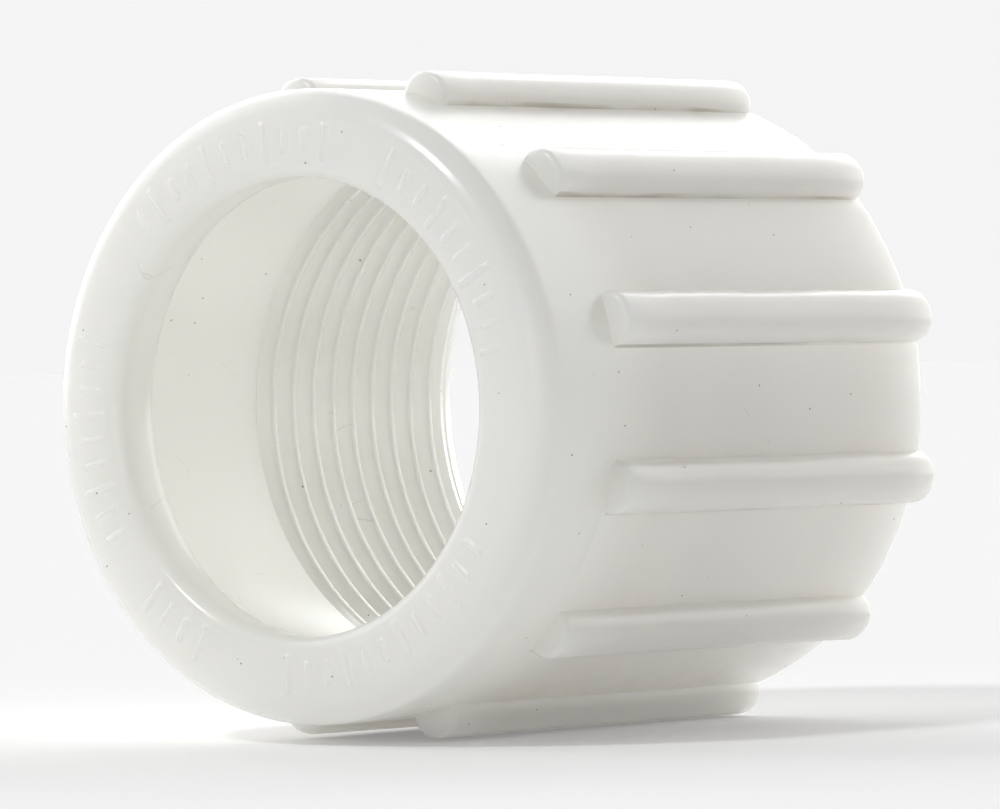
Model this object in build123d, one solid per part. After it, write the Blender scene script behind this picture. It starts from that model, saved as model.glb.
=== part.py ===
from build123d import *

import math
import os

# Union nut: the loose ribbed ring that pulls the two halves of a plastic pipe union together.
# It is one injection moulding. The axis lies along Y and the nut rests on two of its ribs.
# The screwed mouth opens towards +Y and +Z is up. Heights along Y are counted from the collar face,
# and union_nut() moves the finished nut so that the origin is the centre of its bounding box.
# Angles round the nut start at +X and go towards +Z. All lengths are in millimetres.

FULL_TURN = 360
TOP_ANGLE = 90

# Screw thread: a straight right-hand thread of 11.5 turns to the inch with 60 degree flanks
THREAD_PITCH = 25.4 / 11.5
THREAD_CREST_RADIUS = 18.25
THREAD_DEPTH = 1.35
THREAD_CREST_FLAT = THREAD_PITCH / 4
THREAD_FLANK_ANGLE = 30
THREAD_OVERCUT = 0.2
THREAD_START = 18.0
THREAD_START_ANGLE = 245
THREAD_TURNS = 10

# Body
LENGTH = 43.0
FACE_RADIUS = 21.2
BACK_RADIUS = 21.5
RIM_FILLET = 2.0
BACK_EDGE_FILLET = 0.3

# Collar bore, which lets the tailpiece through but holds back its flange
BORE_RADIUS = 15.3
BORE_ENTRY_FILLET = 1.0
BORE_LAND_END = 2.7
BORE_EXIT_RADIUS = 15.9
COLLAR_DEPTH = 4.4

# Cavity behind the collar, and the lead-in at the mouth
CAVITY_RADIUS = 18.0
CAVITY_CORNER_FILLET = 0.4
LEAD_IN_START = 38.9
MOUTH_RADIUS = 20.0
MOUTH_FILLET = 0.55

# Grip ribs
RIB_COUNT = 12
RIB_FIRST_ANGLE = 15
RIB_START = 7.7
RIB_TIP_RADIUS = 22.95
RIB_ROOT_RADIUS = 20.3
RIB_ROOT_WIDTH = 3.76
RIB_TIP_WIDTH = 3.5
RIB_CORNER_FILLET = 1.35
RIB_END_FILLET = 0.35
RIB_RISE = (BACK_RADIUS - FACE_RADIUS) * (LENGTH - RIB_START) / LENGTH

# Raised tightening marks on the collar face: groups of radial ticks, every third one long
MARK_GROUPS = ((12, 10), (80, 11), (165, 9), (226, 4), (268, 12))
MARK_STEP = 5.5
MARKS_PER_LONG = 3
MARK_MIDDLE_RADIUS = 17.75
MARK_LONG = 3.1
MARK_SHORT = 1.7
MARK_WIDTH = 0.6
MARK_HEIGHT = 0.2
MARK_SINK = 0.3


def around_axis(shape, angle):
    """The shape turned about the nut's axis, from +X towards +Z."""
    return Rotation(0, -angle, 0) * shape


def turned_blank():
    """The plain turned shape: half its section, in radius and height along Y, spun about Y."""
    outline = Polyline(
        (BORE_RADIUS, BORE_LAND_END),
        (BORE_RADIUS, 0),
        (FACE_RADIUS, 0),
        (BACK_RADIUS, LENGTH),
        (THREAD_CREST_RADIUS, LENGTH),
        (THREAD_CREST_RADIUS, THREAD_START),
        (CAVITY_RADIUS, THREAD_START),
        (CAVITY_RADIUS, COLLAR_DEPTH),
        (BORE_EXIT_RADIUS, COLLAR_DEPTH),
    )
    relief = TangentArc((BORE_RADIUS, BORE_LAND_END), (BORE_EXIT_RADIUS, COLLAR_DEPTH), tangent=(0, 1))
    section = make_face(outline.edges() + relief.edges())
    rounded_corners = (
        ((BORE_RADIUS, 0), BORE_ENTRY_FILLET),
        ((FACE_RADIUS, 0), RIM_FILLET),
        ((BACK_RADIUS, LENGTH), BACK_EDGE_FILLET),
        ((CAVITY_RADIUS, COLLAR_DEPTH), CAVITY_CORNER_FILLET),
    )
    for corner, radius in rounded_corners:
        vertex = section.vertices().sort_by_distance((*corner, 0))[0]
        section = fillet(vertex, radius)
    return revolve(section, Axis.Y)


def lead_in():
    """The cone cut away at the mouth, which meets the back face in a round edge."""
    past_end = LENGTH + MOUTH_FILLET
    slope_end = (MOUTH_RADIUS, LENGTH - MOUTH_FILLET)
    edge_end = (MOUTH_RADIUS + MOUTH_FILLET, LENGTH)
    slope = Polyline((0, past_end), (0, LEAD_IN_START), (THREAD_CREST_RADIUS, LEAD_IN_START), slope_end)
    rounding = RadiusArc(slope_end, edge_end, MOUTH_FILLET)
    closing = Polyline(edge_end, (MOUTH_RADIUS + MOUTH_FILLET, past_end), (0, past_end))
    return revolve(make_face(slope.edges() + rounding.edges() + closing.edges()), Axis.Y)


def rib():
    """One grip rib at the top of the nut, round-cornered, and tilted to follow the body's taper."""
    half_root = RIB_ROOT_WIDTH / 2
    half_tip = RIB_TIP_WIDTH / 2
    shoulder = math.sqrt(RIB_TIP_RADIUS**2 - half_tip**2)
    sides = Polyline(
        (half_tip, RIB_START, shoulder),
        (half_root, RIB_START, RIB_ROOT_RADIUS),
        (-half_root, RIB_START, RIB_ROOT_RADIUS),
        (-half_tip, RIB_START, shoulder),
    )
    crown = ThreePointArc(
        (-half_tip, RIB_START, shoulder),
        (0, RIB_START, RIB_TIP_RADIUS),
        (half_tip, RIB_START, shoulder),
    )
    section = make_face(sides.edges() + crown.edges())
    tips = section.vertices().sort_by(Axis.Z)[-2:]
    section = fillet(tips, RIB_CORNER_FILLET)
    run = Vector(0, LENGTH - RIB_START, RIB_RISE)
    bar = extrude(section, amount=run.length, dir=run.normalized())
    ends = bar.faces().sort_by(Axis.Y)
    for end in (ends[0], ends[-1]):
        edges = end.edges().sort_by(Axis.Z)[1:]
        bar = fillet(edges, RIB_END_FILLET)
    return bar


def thread_groove():
    """The helical groove between the crests, as a solid to cut away."""
    opening = THREAD_PITCH - THREAD_CREST_FLAT
    narrowing = 2 * math.tan(math.radians(THREAD_FLANK_ANGLE))
    inner_width = opening + narrowing * THREAD_OVERCUT
    outer_width = opening - narrowing * THREAD_DEPTH
    start = THREAD_START + opening / 2
    height = THREAD_TURNS * THREAD_PITCH
    helix = Helix(THREAD_PITCH, height, THREAD_CREST_RADIUS, center=(0, start, 0), direction=(0, 1, 0))
    first_point = helix @ 0
    outwards = first_point - Vector(0, start, 0)
    plane = Plane(origin=first_point, x_dir=outwards, z_dir=helix % 0)
    section = plane * Polygon(
        (-THREAD_OVERCUT, inner_width / 2),
        (THREAD_DEPTH, outer_width / 2),
        (THREAD_DEPTH, -outer_width / 2),
        (-THREAD_OVERCUT, -inner_width / 2),
        align=None,
    )
    groove = sweep(section, path=helix, is_frenet=True)
    helix_start_angle = math.degrees(math.atan2(outwards.Z, outwards.X))
    return around_axis(groove, THREAD_START_ANGLE - helix_start_angle)


def tightening_marks():
    """The raised ticks on the collar face, as bars that start inside the collar."""
    plane = Plane(origin=(MARK_MIDDLE_RADIUS, MARK_SINK, 0), x_dir=(1, 0, 0), z_dir=(0, -1, 0))
    ticks = []
    for first_angle, count in MARK_GROUPS:
        for n in range(count):
            length = MARK_SHORT if n % MARKS_PER_LONG else MARK_LONG
            bar = extrude(plane * SlotOverall(length, MARK_WIDTH), amount=MARK_SINK + MARK_HEIGHT)
            ticks.append(around_axis(bar, first_angle + n * MARK_STEP))
    return ticks


def union_nut():
    """The whole moulding."""
    top_rib = rib()
    first_turn = RIB_FIRST_ANGLE - TOP_ANGLE
    ribs = [around_axis(top_rib, first_turn + n * FULL_TURN / RIB_COUNT) for n in range(RIB_COUNT)]
    threaded_tube = turned_blank() - thread_groove() - lead_in()
    nut = threaded_tube + ribs + tightening_marks()
    return Pos(0, (MARK_HEIGHT - LENGTH) / 2, 0) * nut


os.makedirs("parts", exist_ok=True)
nut = union_nut()
nut.label = "union_nut"
export_step(nut, "parts/union_nut.step")
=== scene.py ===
import math

import bmesh
import bpy
import numpy as np
from mathutils import Matrix, Vector


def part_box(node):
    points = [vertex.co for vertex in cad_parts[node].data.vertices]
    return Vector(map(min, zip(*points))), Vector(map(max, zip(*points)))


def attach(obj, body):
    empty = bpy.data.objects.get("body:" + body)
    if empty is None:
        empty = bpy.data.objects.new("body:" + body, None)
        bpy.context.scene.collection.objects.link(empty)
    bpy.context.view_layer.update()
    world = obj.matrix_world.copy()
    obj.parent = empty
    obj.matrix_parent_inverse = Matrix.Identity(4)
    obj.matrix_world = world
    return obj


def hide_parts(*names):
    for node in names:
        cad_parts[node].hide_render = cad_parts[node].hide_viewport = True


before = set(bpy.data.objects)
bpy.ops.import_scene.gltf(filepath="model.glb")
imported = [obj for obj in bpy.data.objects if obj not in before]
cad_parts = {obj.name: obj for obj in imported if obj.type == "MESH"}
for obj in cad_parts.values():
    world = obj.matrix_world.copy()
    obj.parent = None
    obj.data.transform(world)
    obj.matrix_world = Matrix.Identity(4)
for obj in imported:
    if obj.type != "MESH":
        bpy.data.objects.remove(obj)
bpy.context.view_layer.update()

# A moulded plastic union nut, lying on its ribs with its axis along Y and its collar towards -Y.
# It is one skin of rings, closed round its section: rim, ribbed body, back face, screwed mouth,
# cavity, collar bore and collar face. Angles start at +X and go towards +Z. Depths are counted
# along Y from the collar face. Sizes are in millimetres here, and MM turns them into metres.

MM = 0.001
NODE = "union_nut"

# Body and ribs
LENGTH = 43.0
MARK_HEIGHT = 0.2
FACE_RADIUS = 21.2
BACK_RADIUS = 21.5
RIM_FILLET = 2.0
BACK_EDGE_FILLET = 0.3
RIB_COUNT = 12
RIB_FIRST_ANGLE = 15.0
RIB_START = 7.7
RIB_TIP_RADIUS = 22.95
RIB_ROOT_RADIUS = 20.3
RIB_ROOT_WIDTH = 3.76
RIB_TIP_WIDTH = 3.5
RIB_CORNER_FILLET = 1.62
RIB_END_FILLET = 0.45

# Slight unevenness of the wall, which fades in behind the rim: heights, waves round the nut, and
# radians to the millimetre along it
OVAL_HEIGHT = 0.020
OVAL_PHASE = 0.6
RIPPLE_HEIGHT = 0.012
RIPPLE_WAVES = 5
RIPPLE_TWIST = 0.11
SWELL_HEIGHT = 0.010
SWELL_WAVES = 3
SWELL_RATE = 0.35
SINK_BETWEEN_RIBS = 0.030
FADE_LENGTH = 4.0

# How the ribs wander from straight, in radians: a slow wave and a weaker quick one. The shifts make
# each rib's waves start in their own place.
RIB_WOBBLE = 0.0011
SLOW_WOBBLE_RATE = 0.42
SLOW_WOBBLE_SHIFT = 2
QUICK_WOBBLE_RATE = 0.95
QUICK_WOBBLE_SHIFT = 5
QUICK_WOBBLE_SHARE = 0.7

# A mould step beside one rib, and traces of trimmed flash on the back edge. Both WIDTHs are angles.
MOULD_LINE_DEPTH = 7.35
MOULD_LINE_RISE = 0.15
MOULD_LINE_RUN = 7.0
MOULD_LINE_STEP = 0.07
MOULD_LINE_ANGLE = -24.0
MOULD_LINE_WIDTH = 8.0
FLASH_ANGLES = (58, 36, 9, -33, 128, 201, 255)
FLASH_WIDTH = 0.8
FLASH_HEIGHT = 0.09
FLASH_DEPTH = 0.5

# Mouth and screw thread. Phases go from 0, a groove's front edge, to 1, the next one's.
BACK_FACE_RADIUS = 21.1
MOUTH_RADIUS = 20.0
MOUTH_FILLET = 0.55
LEAD_IN_START = 38.9
THREAD_PITCH = 25.4 / 11.5
THREAD_CREST_RADIUS = 18.25
THREAD_DEPTH = 1.35
THREAD_START = 18.0
THREAD_START_ANGLE = 245.0
THREAD_ROOT_FROM = 0.353
THREAD_ROOT_TO = 0.397
THREAD_CREST_FROM = 0.75
THREAD_EDGE_ROUNDING = 0.04
THREAD_PHASES = (0.0, 0.04, 0.32, 0.375, 0.43, 0.71, 0.75, 0.79, 0.96)

# Cavity and collar bore
CAVITY_RADIUS = 18.0
CAVITY_CORNER_FILLET = 0.4
COLLAR_DEPTH = 4.4
BORE_EXIT_RADIUS = 15.9
BORE_RADIUS = 15.3
BORE_LAND_END = 2.7
BORE_ENTRY_FILLET = 1.0

# Raised tightening marks on the collar face. A group is its first tick's angle and how many it has.
MARK_GROUPS = ((12, 10), (80, 11), (165, 9), (226, 4), (268, 12))
MARK_STEP = 5.5
MARKS_PER_LONG = 3
MARK_MIDDLE_RADIUS = 17.75
MARK_LONG = 2.7
MARK_SHORT = 1.7
MARK_WIDTH = 0.42
MARK_EDGE = 0.11

# Plastic: its colours, and where it is handled. A noise scale is in waves to the metre.
CLEAN_PLASTIC = (0.935, 0.93, 0.865, 1)
CLEAN_PLASTIC_CLOUD = (0.95, 0.945, 0.895, 1)
HANDLED_PLASTIC = (0.735, 0.718, 0.69, 1)
HANDLED_PLASTIC_CLOUD = (0.765, 0.748, 0.72, 1)
CLOUD_SCALE = 130.0
CLOUD_DETAIL = 3.0
OUTSIDE_RADII = (20.2, 20.9)
FACE_WEAR = 0.3
FACE_WEAR_DEPTHS = (0.6, 2.4)
BODY_WEAR_DEPTHS = (RIB_START - 4, RIB_START + 7)

# Dark specks, hair scratches, and painted shade in the crease along one side of each rib, standing
# in for the rib's shadow on the body. SPECK_SIZE and SCRATCH_LINE are shares of the spacing.
# The specks' colour, which also colours the painted crease shade
SPECK_AND_CREASE_SHADE_COLOUR = (0.16, 0.14, 0.12, 1)
SPECK_SPACING = 2.1
SPECK_SIZE = 0.044
SPECK_CORE = 0.6
SPECK_SHARE = 0.85
SCRATCH_SPACING = 7.0
SCRATCH_LINE = (0.003, 0.008)
SCRATCH_PATCH_SCALE = 260.0
SCRATCH_PATCH_DETAIL = 2.0
SCRATCH_PATCHES = (0.64, 0.70)
SCRATCH_WARP_SCALE = 90.0
SCRATCH_WARP = 4.0
SCRATCH_SHARE = 0.16
CREASE_WIDTH = 0.12
CREASE_CORE = 0.4
# Painted crease shade: its strength, the radii and depths it lies between, and its patchiness with
# the cloud noise
CREASE_SHADE_STRENGTH = 0.4
CREASE_RADII = (21.6, 21.8)
CREASE_DEPTHS = (RIB_START, RIB_START + 0.5)
CREASE_SHADE_CLOUD = (0.35, 0.6)
LEAST_CREASE_SHADE = 0.3

# Gloss, and fine relief with tool marks on part of the face's edge. TOOL_MARK_SPREAD holds cosines
# of angles from TOOL_MARK_ANGLE, and the marks' heights are shares of RELIEF_HEIGHT.
SMEAR_SCALE = 420.0
SMEAR_DETAIL = 4.0
SMEAR_RANGE = (0.3, 0.7)
ROUGHNESS_RANGE = (0.20, 0.268)
PEEL_SCALE = 900.0
PEEL_DETAIL = 2.0
TOOL_MARK_STEP = 0.45
TOOL_MARK_ANGLE = 62.0
TOOL_MARK_SPREAD = (0.85, 0.93)
TOOL_MARK_RADII = (18.8, 19.2)
TOOL_MARK_DEPTHS = (0.6, 1.2)
TOOL_MARK_HEIGHT = 0.5
SCRATCH_HEIGHT = -0.6
RELIEF_STRENGTH = 0.35
RELIEF_HEIGHT = 0.02

# Translucency
PLASTIC_IOR = 1.5
SCATTER_SHARE = 0.78
SCATTER_DEPTH = 12.0
SCATTER_COLOUR = (1.0, 0.95, 0.8)

# Studio: how far the floor reaches in metres, and each lamp's name, azimuth, elevation, width and
# strength. Azimuth 0 is on the collar's side and 90 is +X.
FLOOR_REACH = 40.0
FLOOR_COLOUR = (0.97, 0.97, 0.97, 1)
FLOOR_GLOW = 0.12
ROOM_LIGHT = 0.08
BACKDROP = 0.91
WHITE = (1, 1, 1, 1)
LAMPS = (
    ("key_light", -10, 45, 9, 0.8),
    ("top_light", 0, 85, 60, 0.4),
    ("camera_side_fill", 30, 8, 40, 0.35),
    ("left_fill", 270, 25, 60, 1.15),
    ("back_left_fill", 220, 25, 60, 1.05),
    ("back_fill", 172, 20, 60, 1.15),
)

# Camera: angles in degrees, places in metres, lens and sensor in millimetres
CAMERA_AZIMUTH = 37.65
CAMERA_ELEVATION = 0.35
CAMERA_ROLL = 0.88
CAMERA_DISTANCE = 0.4482
CAMERA_AIM = (0.00064, 0.00049, -0.00013)
CAMERA_LENS = 234.0
SENSOR_WIDTH = 36.0
NEAREST_SEEN = 0.01

# How finely the skin is divided, and the angle above which an edge is shaded sharp
FILLET_STEPS = 5
RIM_STEPS = 9
CORNER_STEPS = 7
CROWN_STEPS = 2
BODY_STEPS = 15
RIB_ROWS = 12
FACE_ROWS = 20
FACE_SPLIT = 3
COLLAR_ROWS = (2.6, 3.4, 4.4, 5.4, 6.4)
ROW_BEFORE_NOSES = 0.1
CAVITY_ROWS = (17.5, 14.5, 10.5, 7.0)
ROUNDING_SAMPLES = 9
MERGE_DISTANCE = 0.0005
SHARP_ANGLE = 32


def spread(start, end, count):
    """count evenly spaced values from start to end."""
    return np.linspace(start, end, count)


def rib_outline(inset, body_radius, rise):
    """One rib's section from foot to foot, pulled in by inset: angles from its middle and radii."""
    half_root = RIB_ROOT_WIDTH / 2
    half_tip = RIB_TIP_WIDTH / 2
    shoulder = math.sqrt(RIB_TIP_RADIUS**2 - half_tip**2)
    lean = math.atan2(half_root - half_tip, shoulder - RIB_ROOT_RADIUS)
    wall = half_root * math.cos(lean) + RIB_ROOT_RADIUS * math.sin(lean)
    centre_height = RIB_TIP_RADIUS - RIB_CORNER_FILLET
    centre_side = (wall - RIB_CORNER_FILLET - centre_height * math.sin(lean)) / math.cos(lean)
    foot_side = (wall - inset - (body_radius - rise) * math.sin(lean)) / math.cos(lean)
    foot_height = math.sqrt(body_radius**2 - foot_side**2)
    turns = spread(lean, math.atan2(centre_height, centre_side), CORNER_STEPS + 1)
    corner = RIB_CORNER_FILLET - inset
    sides = centre_side + corner * np.cos(turns)
    heights = centre_height + corner * np.sin(turns) + rise
    sides = np.concatenate(([foot_side, (foot_side + sides[0]) / 2], sides))
    heights = np.concatenate(([foot_height, (foot_height + heights[0]) / 2], heights))
    tip_angle = math.atan2(sides[-1], heights[-1])
    tip_radius = math.hypot(sides[-1], heights[-1])
    crown = spread(-tip_angle, tip_angle, CROWN_STEPS + 1)[1:-1]
    right_angles = np.arctan2(sides, heights)
    right_radii = np.hypot(sides, heights)
    angles = np.concatenate((-right_angles, crown, right_angles[::-1]))
    radii = np.concatenate((right_radii, np.full(len(crown), tip_radius), right_radii[::-1]))
    return angles, radii


class Columns:
    """The skin's columns: where each stands on a plain circle, and which rib point it follows."""

    def __init__(self):
        outline_angles, _ = rib_outline(0, FACE_RADIUS, 0)
        self.rib_points = len(outline_angles)
        self.foot = -outline_angles[0]
        sector = 2 * math.pi / RIB_COUNT
        gap = spread(self.foot, sector - self.foot, BODY_STEPS + 1)[1:-1]
        rib_spread = spread(-self.foot, self.foot, self.rib_points)
        middles = math.radians(RIB_FIRST_ANGLE) + sector * np.arange(RIB_COUNT)
        angle, middle, point = [], [], []
        for m in middles:
            angle += list(m + rib_spread) + list(m + gap)
            middle += [m] * (self.rib_points + len(gap))
            point += list(range(self.rib_points)) + [-1] * len(gap)
        angle = np.array(angle)
        behind_start = (math.radians(THREAD_START_ANGLE) - angle) % (2 * math.pi)
        order = np.argsort(behind_start)
        self.angle = angle[order]
        self.behind_start = behind_start[order] / (2 * math.pi)
        self.middle = np.array(middle)[order]
        self.point = np.array(point)[order]
        self.on_rib = self.point >= 0
        self.count = len(angle)


class Skin:
    """Rings of points with faces between them."""

    def __init__(self, columns):
        self.columns = columns
        self.points = []
        self.faces = []

    def ring(self, angle, radius, depth):
        """Adds one ring of points and returns their numbers."""
        first = len(self.points)
        radius = np.broadcast_to(radius, angle.shape)
        depth = np.broadcast_to(depth, angle.shape)
        self.points += zip(radius * np.cos(angle), depth, radius * np.sin(angle))
        return np.arange(first, first + len(angle))

    def circle(self, radius, depth):
        """A plain ring, the same all round."""
        return self.ring(self.columns.angle, radius, depth)

    def join(self, rings):
        """Bands of four-sided faces between each ring and the next."""
        for ring, following in zip(rings, rings[1:]):
            self.faces += zip(ring, following, np.roll(following, -1), np.roll(ring, -1))


def body_radius(depth):
    """The body's plain radius, which grows towards the back."""
    return FACE_RADIUS + (BACK_RADIUS - FACE_RADIUS) * depth / LENGTH


def sag(angle, depth):
    """The slight unevenness of the moulded wall: shrinkage, and a shallow hollow between ribs."""
    oval = OVAL_HEIGHT * np.sin(2 * angle + OVAL_PHASE)
    ripple = RIPPLE_HEIGHT * np.sin(RIPPLE_WAVES * angle + depth * RIPPLE_TWIST)
    swell = SWELL_HEIGHT * np.sin(depth * SWELL_RATE + SWELL_WAVES * angle)
    between_ribs = SINK_BETWEEN_RIBS * np.cos(RIB_COUNT * (angle - math.radians(RIB_FIRST_ANGLE)))
    fade = np.clip((depth - RIM_FILLET) / FADE_LENGTH, 0, 1)
    return (oval + ripple + swell + between_ribs) * fade


def near(angle, middle, width):
    """1 at an angle given in degrees, and falling off to 0 within a few widths of it."""
    turn = (angle - math.radians(middle) + math.pi) % (2 * math.pi) - math.pi
    return np.exp(-((turn / math.radians(width)) ** 2))


def mould_line(angle, depth):
    """The faint step beside one rib where two parts of the mould met. It fades towards the back."""
    past = depth - MOULD_LINE_DEPTH
    behind = np.clip(past / MOULD_LINE_RISE, 0, 1) * np.clip(1 - past / MOULD_LINE_RUN, 0, 1)
    return -MOULD_LINE_STEP * behind * near(angle, MOULD_LINE_ANGLE, MOULD_LINE_WIDTH)


def flash(angle, depth):
    """Traces of trimmed flash on the back edge."""
    if depth < LENGTH - FLASH_DEPTH:
        return 0 * angle
    return FLASH_HEIGHT * sum(near(angle, a, FLASH_WIDTH) for a in FLASH_ANGLES)


def arc(centre_radius, centre_depth, size, start, end, steps):
    """Points (radius, depth) on a rounding, from start to end in degrees. 0 is towards +radius."""
    turns = np.radians(spread(start, end, steps + 1))
    return [(centre_radius + size * math.cos(t), centre_depth + size * math.sin(t)) for t in turns]


def ribbed_ring(skin, depth, inset=0.0, body_inset=0.0, rib_depth=None):
    """A ring that follows the body between the ribs and the rib outline on them."""
    columns = skin.columns
    rise = body_radius(depth) - body_radius(RIB_START)
    plain = body_radius(depth) - body_inset
    outline_angle, outline_radius = rib_outline(inset, plain, rise)
    angle = columns.angle.copy()
    radius = np.full(columns.count, plain)
    on_rib = columns.on_rib
    slow = np.sin(depth * SLOW_WOBBLE_RATE + SLOW_WOBBLE_SHIFT * columns.middle)
    quick = np.sin(depth * QUICK_WOBBLE_RATE + QUICK_WOBBLE_SHIFT * columns.middle)
    middle = columns.middle + RIB_WOBBLE * (slow + QUICK_WOBBLE_SHARE * quick)
    angle[on_rib] = middle[on_rib] + outline_angle[columns.point[on_rib]]
    radius[on_rib] = outline_radius[columns.point[on_rib]]
    depths = np.full(columns.count, float(depth))
    if rib_depth is not None:
        depths[on_rib] = rib_depth
    radius = radius + sag(angle, depths) + mould_line(angle, depth) + flash(angle, depth)
    return skin.ring(angle, radius, depths)


def nose_ring(skin):
    """The ring where the flat front ends of the ribs rise from the body."""
    columns = skin.columns
    plain = body_radius(RIB_START)
    foot = -rib_outline(RIB_END_FILLET, plain, 0)[0][0]
    angle = columns.angle.copy()
    on_rib = columns.on_rib
    middle = columns.middle[on_rib]
    angle[on_rib] = middle + (angle[on_rib] - middle) * foot / columns.foot
    return skin.ring(angle, plain + sag(angle, RIB_START) + mould_line(angle, RIB_START), RIB_START)


def body_rings(skin):
    """The rim, the body and its ribs, and the back face, from the collar face to the mouth."""
    angle = skin.columns.angle
    rim = arc(FACE_RADIUS - RIM_FILLET, RIM_FILLET, RIM_FILLET, -90, 0, RIM_STEPS)
    rings = [skin.circle(r, d) for r, d in rim[1:]]
    step_rows = (MOULD_LINE_DEPTH, MOULD_LINE_DEPTH + MOULD_LINE_RISE)
    for depth in (*COLLAR_ROWS, *step_rows, RIB_START - ROW_BEFORE_NOSES):
        radius = body_radius(depth) + sag(angle, depth) + mould_line(angle, depth)
        rings.append(skin.ring(angle, radius, depth))
    rings.append(nose_ring(skin))
    for turn in np.radians(spread(0, 90, FILLET_STEPS)):
        inset = RIB_END_FILLET * (1 - math.sin(turn))
        depth = RIB_START + RIB_END_FILLET * (1 - math.cos(turn))
        rings.append(ribbed_ring(skin, depth, inset))
    for depth in spread(RIB_START + RIB_END_FILLET, LENGTH - RIB_END_FILLET, RIB_ROWS + 1)[1:]:
        rings.append(ribbed_ring(skin, depth))
    for turn in np.radians(spread(0, 90, FILLET_STEPS)[1:]):
        inset = RIB_END_FILLET * (1 - math.cos(turn))
        rib_depth = LENGTH - RIB_END_FILLET * (1 - math.sin(turn))
        body_inset = BACK_EDGE_FILLET * (1 - math.cos(turn))
        depth = LENGTH - BACK_EDGE_FILLET * (1 - math.sin(turn))
        rings.append(ribbed_ring(skin, depth, inset, body_inset, rib_depth))
    rings.append(skin.circle(BACK_FACE_RADIUS, LENGTH))
    mouth_centre = MOUTH_RADIUS + MOUTH_FILLET, LENGTH - MOUTH_FILLET
    mouth = arc(*mouth_centre, MOUTH_FILLET, 90, 180, FILLET_STEPS)
    rings += [skin.circle(r, d) for r, d in mouth]
    return rings


def groove_depth(phase):
    """How deep the thread is at a phase from 0, a groove's front edge, to 1, the next one's."""
    front_flank = phase / THREAD_ROOT_FROM
    back_flank = (THREAD_CREST_FROM - phase) / (THREAD_CREST_FROM - THREAD_ROOT_TO)
    return THREAD_DEPTH * np.clip(np.minimum(front_flank, back_flank), 0, 1)


def rounded_groove_depth(phase):
    """The thread's depth with its edges slightly rounded."""
    shifts = spread(-THREAD_EDGE_ROUNDING, THREAD_EDGE_ROUNDING, ROUNDING_SAMPLES)
    return np.mean([groove_depth((phase + s) % 1) for s in shifts])


def thread_rings(skin):
    """The screw thread and lead-in cone. Rings climb with the thread and stop at its flat ends."""
    columns = skin.columns
    top = LENGTH - MOUTH_FILLET
    turns = math.ceil((top - THREAD_START) / THREAD_PITCH)
    widening = MOUTH_RADIUS - THREAD_CREST_RADIUS
    rings = []
    for turn in range(-1, turns + 1):
        for phase in THREAD_PHASES:
            depth = THREAD_START + THREAD_PITCH * (columns.behind_start + turn + phase)
            depth = np.clip(depth, THREAD_START, top)
            cut = rounded_groove_depth(phase) if turn >= 0 else 0.0
            cone = widening * (depth - LEAD_IN_START) / (top - LEAD_IN_START)
            radius = THREAD_CREST_RADIUS + np.maximum(cut, cone)
            rings.append(skin.ring(columns.angle, radius, depth))
    per_turn = len(THREAD_PHASES)
    last = len(rings) - 1
    for m in range(last):
        low, high = rings[m], rings[m + 1]
        far_low = rings[min(m + per_turn, last)]
        far_high = rings[min(m + per_turn + 1, last)]
        for i in range(columns.count - 1):
            skin.faces.append((high[i], low[i], low[i + 1], high[i + 1]))
        # A ring climbs one turn, so its last column meets the first of the ring a turn further on.
        skin.faces.append((high[-1], low[-1], far_low[0], far_high[0]))
    # A gap is left where the first ring starts, and this closes it.
    skin.faces.append((rings[0][-1], rings[0][0], rings[per_turn][0]))
    return rings


def inner_rings(skin):
    """The step below the thread, the cavity, the flange's seat and the collar bore."""
    rings = []
    corner_centre = CAVITY_RADIUS - CAVITY_CORNER_FILLET, COLLAR_DEPTH + CAVITY_CORNER_FILLET
    for depth in (THREAD_START, *CAVITY_ROWS, corner_centre[1]):
        rings.append(skin.circle(CAVITY_RADIUS, depth))
    corner = arc(*corner_centre, CAVITY_CORNER_FILLET, 0, -90, FILLET_STEPS)
    rings += [skin.circle(r, d) for r, d in corner[1:]]
    rings.append(skin.circle((CAVITY_RADIUS + BORE_EXIT_RADIUS) / 2, COLLAR_DEPTH))
    run, widening = COLLAR_DEPTH - BORE_LAND_END, BORE_EXIT_RADIUS - BORE_RADIUS
    relief_radius = (run**2 + widening**2) / (2 * widening)
    for depth in spread(COLLAR_DEPTH, BORE_LAND_END, FILLET_STEPS):
        drop = relief_radius - math.sqrt(relief_radius**2 - (depth - BORE_LAND_END) ** 2)
        rings.append(skin.circle(BORE_RADIUS + drop, depth))
    rings.append(skin.circle(BORE_RADIUS, (BORE_LAND_END + BORE_ENTRY_FILLET) / 2))
    entry_centre = BORE_RADIUS + BORE_ENTRY_FILLET, BORE_ENTRY_FILLET
    entry = arc(*entry_centre, BORE_ENTRY_FILLET, 180, 270, FILLET_STEPS + 2)
    rings += [skin.circle(r, d) for r, d in entry]
    return rings


def mark_lift(angle, radius):
    """How far the collar face is raised at each point by the tightening marks."""
    lift = np.zeros(angle.shape)
    for first_angle, count in MARK_GROUPS:
        for n in range(count):
            length = MARK_SHORT if n % MARKS_PER_LONG else MARK_LONG
            middle = math.radians(first_angle + n * MARK_STEP)
            turn = (angle - middle + math.pi) % (2 * math.pi) - math.pi
            along = np.maximum(np.abs(radius - MARK_MIDDLE_RADIUS) - (length - MARK_WIDTH) / 2, 0)
            outside = np.hypot(along, radius * turn) - MARK_WIDTH / 2
            edge = np.clip(0.5 - outside / (2 * MARK_EDGE), 0, 1)
            lift = np.maximum(lift, edge * edge * (3 - 2 * edge))
    return lift * MARK_HEIGHT


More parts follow.
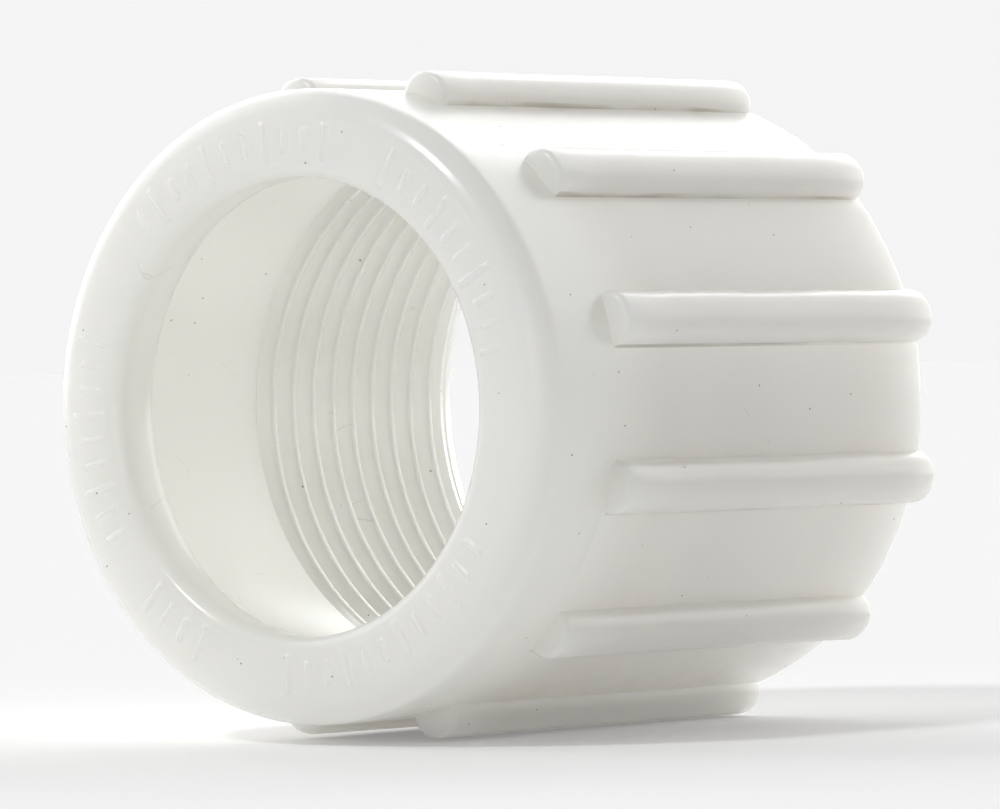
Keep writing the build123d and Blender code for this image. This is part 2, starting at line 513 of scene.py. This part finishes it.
def collar_face(skin, inner_ring, outer_ring):
    """The collar face with its raised marks, on a grid FACE_SPLIT times finer than the columns."""
    columns = skin.columns
    step = (np.roll(columns.angle, -1) - columns.angle + math.pi) % (2 * math.pi) - math.pi
    shares = np.arange(FACE_SPLIT) / FACE_SPLIT
    angle = (columns.angle[:, None] + step[:, None] * shares).ravel()
    rows = []
    inner_edge, outer_edge = BORE_RADIUS + BORE_ENTRY_FILLET, FACE_RADIUS - RIM_FILLET
    for radius in spread(inner_edge, outer_edge, FACE_ROWS + 2)[1:-1]:
        rows.append(skin.ring(angle, radius, -mark_lift(angle, radius)))
    skin.join(rows)
    for coarse, fine, flip in ((inner_ring, rows[0], False), (outer_ring, rows[-1], True)):
        for i in range(columns.count):
            run = [fine[(FACE_SPLIT * i + k) % len(fine)] for k in range(FACE_SPLIT + 1)]
            here, there = coarse[i], coarse[(i + 1) % columns.count]
            fan = [(here, run[0], run[1]), (here, run[1], run[2], there), (there, run[2], run[3])]
            skin.faces += [face[::-1] if flip else face for face in fan]


def face_place():
    """Where the collar face is along Y, in metres."""
    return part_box(NODE)[0].y + MARK_HEIGHT * MM


def nut_mesh():
    """The whole nut's mesh, in metres and in the frame's place."""
    skin = Skin(Columns())
    face_rim = skin.circle(FACE_RADIUS - RIM_FILLET, 0)
    body = body_rings(skin)
    thread = thread_rings(skin)
    inner = inner_rings(skin)
    skin.join([face_rim] + body + [thread[-1]])
    skin.join([thread[0]] + inner)
    collar_face(skin, inner[-1], face_rim)
    points = np.array(skin.points, float) * MM + (0, face_place(), 0)
    mesh = bpy.data.meshes.new("union_nut_moulding")
    mesh.from_pydata(points.tolist(), [], [tuple(int(v) for v in f) for f in skin.faces])
    work = bmesh.new()
    work.from_mesh(mesh)
    bmesh.ops.remove_doubles(work, verts=work.verts, dist=MERGE_DISTANCE * MM)
    bmesh.ops.recalc_face_normals(work, faces=work.faces)
    work.to_mesh(mesh)
    work.free()
    mesh.polygons.foreach_set("use_smooth", [True] * len(mesh.polygons))
    mesh.set_sharp_from_angle(angle=math.radians(SHARP_ANGLE))
    return mesh


def connect(tree, socket, value):
    """Links a (node, output name) pair to a socket, or sets the socket to a plain value."""
    if isinstance(value, tuple) and isinstance(value[0], bpy.types.Node):
        tree.links.new(value[0].outputs[value[1]], socket)
    else:
        socket.default_value = value


def node(tree, kind, **inputs):
    """Adds a shader node and fills its named inputs."""
    made = tree.nodes.new(kind)
    for name, value in inputs.items():
        connect(tree, made.inputs[name], value)
    return made


def math_node(tree, operation, *values):
    """Adds a math node and returns its result."""
    made = tree.nodes.new("ShaderNodeMath")
    made.operation = operation
    for socket, value in zip(made.inputs, values):
        connect(tree, socket, value)
    return made, "Value"


def vector_node(tree, operation, *values):
    """Adds a vector math node and returns its result."""
    made = tree.nodes.new("ShaderNodeVectorMath")
    made.operation = operation
    for socket, value in zip(made.inputs, values):
        connect(tree, socket, value)
    return made, "Value" if operation in ("LENGTH", "DOT_PRODUCT") else "Vector"


def product(tree, *values):
    """Multiplies two or more values."""
    result = values[0]
    for value in values[1:]:
        result = math_node(tree, "MULTIPLY", result, value)
    return result


def ramp(tree, value, ends, results=(0, 1)):
    """Goes smoothly from one result to the other while value goes from one end to the other."""
    made = tree.nodes.new("ShaderNodeMapRange")
    made.interpolation_type = "SMOOTHSTEP"
    names = ("Value", "From Min", "From Max", "To Min", "To Max")
    for name, setting in zip(names, (value, *ends, *results)):
        connect(tree, made.inputs[name], setting)
    return made, "Result"


def mix(tree, share, first, second):
    """Mixes two colours."""
    made = tree.nodes.new("ShaderNodeMix")
    made.data_type = "RGBA"
    for name, value in (("Factor_Float", share), ("A_Color", first), ("B_Color", second)):
        connect(tree, next(s for s in made.inputs if s.identifier == name), value)
    return made, next(i for i, s in enumerate(made.outputs) if s.identifier == "Result_Color")


def noise(tree, point, scale, detail):
    """Adds a noise texture and returns its value."""
    return node(tree, "ShaderNodeTexNoise", Vector=point, Scale=scale, Detail=detail), "Fac"


def in_metres(lengths):
    """A pair of lengths in metres."""
    return [length * MM for length in lengths]


class Place:
    """Where a shaded point is on the nut, as node outputs in metres and radians."""

    def __init__(self, tree):
        self.point = (node(tree, "ShaderNodeTexCoord"), "Object")
        parts = node(tree, "ShaderNodeSeparateXYZ", Vector=self.point)
        across = vector_node(tree, "MULTIPLY", self.point, (1, 0, 1))
        self.along = (parts, "Y")
        self.radius = vector_node(tree, "LENGTH", across)
        self.turn = math_node(tree, "ARCTAN2", (parts, "Z"), (parts, "X"))
        self.depth = math_node(tree, "SUBTRACT", self.along, face_place())
        self.outside = ramp(tree, self.radius, in_metres(OUTSIDE_RADII))


def plain_colour(tree, place, cloud):
    """Faintly cloudy white plastic, greyer where it is handled: on the body, and less in front."""
    on_body = ramp(tree, place.depth, in_metres(BODY_WEAR_DEPTHS), (FACE_WEAR / 2, 1))
    on_face = ramp(tree, place.depth, in_metres(FACE_WEAR_DEPTHS), (FACE_WEAR, 0))
    handled = math_node(tree, "MAXIMUM", product(tree, place.outside, on_body), on_face)
    clean = mix(tree, cloud, CLEAN_PLASTIC, CLEAN_PLASTIC_CLOUD)
    worn = mix(tree, cloud, HANDLED_PLASTIC, HANDLED_PLASTIC_CLOUD)
    return mix(tree, handled, clean, worn)


def specks(tree, place):
    """Dark specks in the plastic: 1 inside one and 0 elsewhere."""
    dots = node(tree, "ShaderNodeTexVoronoi", Vector=place.point, Scale=1 / (SPECK_SPACING * MM))
    return ramp(tree, (dots, "Distance"), (SPECK_SIZE * SPECK_CORE, SPECK_SIZE), (1, 0))


def hair_scratches(tree, place):
    """A few fine bent scratches, drawn on the unrolled surface: 1 on one and 0 elsewhere."""
    unrolled = node(tree, "ShaderNodeCombineXYZ")
    connect(tree, unrolled.inputs["X"], product(tree, place.turn, FACE_RADIUS * MM))
    connect(tree, unrolled.inputs["Y"], math_node(tree, "ADD", place.along, place.radius))
    bends = node(tree, "ShaderNodeTexNoise", Vector=place.point, Scale=SCRATCH_WARP_SCALE)
    reach = (SCRATCH_WARP * MM,) * 3
    bent = vector_node(tree, "MULTIPLY_ADD", (bends, "Color"), reach, (unrolled, "Vector"))
    cracks = node(tree, "ShaderNodeTexVoronoi", Scale=1 / (SCRATCH_SPACING * MM))
    cracks.voronoi_dimensions = "2D"
    cracks.feature = "DISTANCE_TO_EDGE"
    connect(tree, cracks.inputs["Vector"], bent)
    line = ramp(tree, (cracks, "Distance"), SCRATCH_LINE, (1, 0))
    patches = noise(tree, place.point, SCRATCH_PATCH_SCALE, SCRATCH_PATCH_DETAIL)
    return product(tree, line, ramp(tree, patches, SCRATCH_PATCHES))


def painted_crease_shade(tree, place, cloud):
    """How much painted shade darkens the crease along one side of each rib, standing in for its
    shadow.
    """
    sector = 2 * math.pi / RIB_COUNT
    shift = 0.5 - math.radians(RIB_FIRST_ANGLE) / sector
    from_rib = math_node(tree, "MULTIPLY_ADD", place.turn, 1 / sector, shift)
    foot = 0.5 - math.asin(RIB_ROOT_WIDTH / 2 / FACE_RADIUS) / sector
    off_foot = math_node(tree, "SUBTRACT", math_node(tree, "FRACT", from_rib), foot)
    half_width = CREASE_WIDTH / (sector * FACE_RADIUS)
    crease_ends = half_width * CREASE_CORE, half_width
    crease = ramp(tree, math_node(tree, "ABSOLUTE", off_foot), crease_ends, (1, 0))
    under_rib = ramp(tree, place.radius, in_metres(CREASE_RADII), (1, 0))
    on_body = product(tree, place.outside, under_rib)
    behind_nose = ramp(tree, place.depth, in_metres(CREASE_DEPTHS), (0, CREASE_SHADE_STRENGTH))
    # The painted shade comes and goes with the cloud noise.
    patchy_shade = ramp(tree, cloud, CREASE_SHADE_CLOUD, (LEAST_CREASE_SHADE, 1))
    return product(tree, crease, on_body, behind_nose, patchy_shade)


def surface_relief(tree, place, scratch):
    """A normal bumped by fine orange peel, tool marks on part of the face's edge, and scratches."""
    peel = noise(tree, place.point, PEEL_SCALE, PEEL_DETAIL)
    waves = product(tree, place.radius, 2 * math.pi / (TOOL_MARK_STEP * MM))
    aim = math.radians(TOOL_MARK_ANGLE)
    aim_direction = (math.cos(aim), 0, math.sin(aim))
    towards_aim = vector_node(tree, "DOT_PRODUCT", place.point, aim_direction)
    alignment = math_node(tree, "DIVIDE", towards_aim, place.radius)
    near_aim = ramp(tree, alignment, TOOL_MARK_SPREAD)
    on_edge = ramp(tree, place.radius, in_metres(TOOL_MARK_RADII))
    in_front = ramp(tree, place.depth, in_metres(TOOL_MARK_DEPTHS), (TOOL_MARK_HEIGHT, 0))
    tooled = product(tree, on_edge, near_aim, in_front)
    marked = math_node(tree, "MULTIPLY_ADD", math_node(tree, "SINE", waves), tooled, peel)
    height = math_node(tree, "MULTIPLY_ADD", scratch, SCRATCH_HEIGHT, marked)
    relief = {"Height": height, "Strength": RELIEF_STRENGTH, "Distance": RELIEF_HEIGHT * MM}
    return node(tree, "ShaderNodeBump", **relief), "Normal"


def plastic_material():
    """White moulded plastic: translucent, half glossy, cleaner inside, with small marks of use and
    painted shade in the rib creases.
    """
    material = bpy.data.materials.new("white_moulded_plastic")
    material.use_nodes = True
    tree = material.node_tree
    shader = tree.nodes["Principled BSDF"]
    place = Place(tree)
    cloud = noise(tree, place.point, CLOUD_SCALE, CLOUD_DETAIL)
    smear = noise(tree, place.point, SMEAR_SCALE, SMEAR_DETAIL)
    scratch = hair_scratches(tree, place)
    dark_marks_and_shade = (
        product(tree, specks(tree, place), SPECK_SHARE),
        product(tree, scratch, SCRATCH_SHARE),
        # painted shade in the crease beside each rib, darkened with the specks' colour
        painted_crease_shade(tree, place, cloud),
    )
    colour = plain_colour(tree, place, cloud)
    for share in dark_marks_and_shade:
        colour = mix(tree, share, colour, SPECK_AND_CREASE_SHADE_COLOUR)
    settings = {
        "Base Color": colour,
        "Roughness": ramp(tree, smear, SMEAR_RANGE, ROUGHNESS_RANGE),
        "Normal": surface_relief(tree, place, scratch),
        "IOR": PLASTIC_IOR,
        "Subsurface Weight": SCATTER_SHARE,
        "Subsurface Radius": SCATTER_COLOUR,
        "Subsurface Scale": SCATTER_DEPTH * MM,
    }
    for name, setting in settings.items():
        connect(tree, shader.inputs[name], setting)
    return material


def make_nut(material):
    """The moulding, in place of the CAD node."""
    nut = bpy.data.objects.new("union_nut_moulding", nut_mesh())
    bpy.context.scene.collection.objects.link(nut)
    nut.data.materials.append(material)
    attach(nut, "root")
    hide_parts(NODE)


def make_floor():
    """A plain pale floor, as high as the ribs that the nut lies on."""
    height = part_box(NODE)[0].z
    mesh = bpy.data.meshes.new("floor")
    sides = ((-1, -1), (1, -1), (1, 1), (-1, 1))
    corners = [(x * FLOOR_REACH, y * FLOOR_REACH, height) for x, y in sides]
    mesh.from_pydata(corners, [], [(0, 1, 2, 3)])
    floor = bpy.data.objects.new("floor", mesh)
    bpy.context.scene.collection.objects.link(floor)
    material = bpy.data.materials.new("floor_white")
    material.use_nodes = True
    shader = material.node_tree.nodes["Principled BSDF"]
    settings = {
        "Base Color": FLOOR_COLOUR,
        "Roughness": 1.0,
        "Specular IOR Level": 0.0,
        "Emission Color": WHITE,
        "Emission Strength": FLOOR_GLOW,
    }
    for name, setting in settings.items():
        shader.inputs[name].default_value = setting
    mesh.materials.append(material)


def make_world():
    """A dim even room, with a plain pale backdrop that only the camera and reflections see."""
    world = bpy.data.worlds.new("studio")
    bpy.context.scene.world = world
    world.use_nodes = True
    tree = world.node_tree
    path = node(tree, "ShaderNodeLightPath")
    seen = math_node(tree, "MAXIMUM", (path, "Is Camera Ray"), (path, "Is Glossy Ray"))
    strength = math_node(tree, "MULTIPLY_ADD", seen, BACKDROP - ROOM_LIGHT, ROOM_LIGHT)
    background = tree.nodes["Background"]
    background.inputs["Color"].default_value = WHITE
    connect(tree, background.inputs["Strength"], strength)


def direction(azimuth, elevation):
    """The direction that an azimuth and an elevation in degrees give."""
    turn, tilt = math.radians(azimuth), math.radians(elevation)
    level = math.cos(tilt)
    return Vector((math.sin(turn) * level, -math.cos(turn) * level, math.sin(tilt)))


def soft_sun(name, azimuth, elevation, width, strength):
    """A wide, distant lamp."""
    lamp = bpy.data.lights.new(name, "SUN")
    lamp.angle = math.radians(width)
    lamp.energy = strength
    light = bpy.data.objects.new(name, lamp)
    light.rotation_euler = direction(azimuth, elevation).to_track_quat("Z", "Y").to_euler()
    bpy.context.scene.collection.objects.link(light)


def make_camera():
    """The camera, rolled a little about its line of sight."""
    turn = math.radians(CAMERA_AZIMUTH)
    back = direction(CAMERA_AZIMUTH, CAMERA_ELEVATION)
    right = Vector((math.cos(turn), math.sin(turn), 0))
    level = Matrix((right, back.cross(right), back)).transposed()
    axes = level @ Matrix.Rotation(-math.radians(CAMERA_ROLL), 3, "Z")
    lens = bpy.data.cameras.new("camera")
    lens.lens = CAMERA_LENS
    lens.sensor_width = SENSOR_WIDTH
    lens.clip_start = NEAREST_SEEN
    camera = bpy.data.objects.new("camera", lens)
    place = Vector(CAMERA_AIM) + back * CAMERA_DISTANCE
    camera.matrix_world = Matrix.Translation(place) @ axes.to_4x4()
    bpy.context.scene.collection.objects.link(camera)
    bpy.context.scene.camera = camera


bpy.context.scene.view_settings.view_transform = "Standard"
make_nut(plastic_material())
make_floor()
make_world()
for lamp in LAMPS:
    soft_sun(*lamp)
make_camera()
